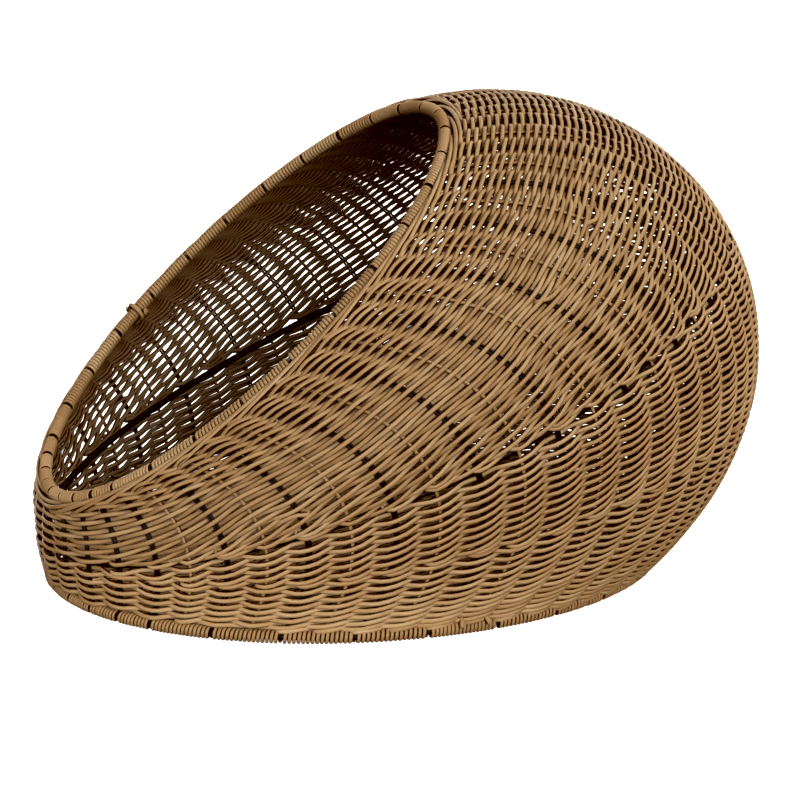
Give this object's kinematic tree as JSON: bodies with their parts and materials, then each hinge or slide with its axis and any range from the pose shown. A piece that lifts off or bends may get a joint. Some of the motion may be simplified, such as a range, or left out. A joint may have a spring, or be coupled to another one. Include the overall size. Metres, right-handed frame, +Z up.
{
  "type": "wicker pet bed basket",
  "caption": "Domed cave bed for a small pet: round strand woven over black wire ribs, with a leaning oval mouth and a flat oval base.",
  "frame": {"origin": "on the surface that the basket stands on, at the centre of its bounding box seen from above", "axes": "+Z up; -Y towards the open mouth and +Y towards the closed back; +X to the right seen from the mouth side"},
  "size_m": [0.5052, 0.6238, 0.3823],
  "materials": {
    "frame_steel": "satin black powder coat",
    "wicker_strand": "satin tan round woven strand with lighter and darker strands",
    "wicker_trim": "satin tan strand wound in close turns"
  },
  "bodies": {
    "root": {"base_ring": "frame_steel", "mouth_ring": "frame_steel", "rib_01": "frame_steel", "rib_02": "frame_steel", "rib_03": "frame_steel", "rib_04": "frame_steel", "rib_05": "frame_steel", "rib_06": "frame_steel", "rib_07": "frame_steel", "rib_08": "frame_steel", "rib_09": "frame_steel", "rib_10": "frame_steel", "rib_11": "frame_steel", "rib_12": "frame_steel", "rib_13": "frame_steel", "rib_14": "frame_steel", "rib_15": "frame_steel", "rib_16": "frame_steel", "rib_17": "frame_steel", "rib_18": "frame_steel", "rib_19": "frame_steel", "rib_20": "frame_steel", "rib_21": "frame_steel", "rib_22": "frame_steel", "rib_23": "frame_steel", "rib_24": "frame_steel", "rib_25": "frame_steel", "rib_26": "frame_steel", "rib_27": "frame_steel", "rib_28": "frame_steel", "rib_29": "frame_steel", "rib_30": "frame_steel", "rib_31": "frame_steel", "rib_32": "frame_steel", "waist_hoop": "frame_steel", "floor_wire_1": "frame_steel", "floor_wire_2": "frame_steel", "floor_wire_3": "frame_steel", "floor_wire_4": "frame_steel", "floor_wire_5": "frame_steel", "upper_weave": "wicker_strand", "lower_weave": "wicker_strand", "floor_weave": "wicker_strand", "mouth_rim_wrap": "wicker_trim", "rim_border": "wicker_trim", "base_ring_wrap": "wicker_trim"}
  },
  "joints": []
}
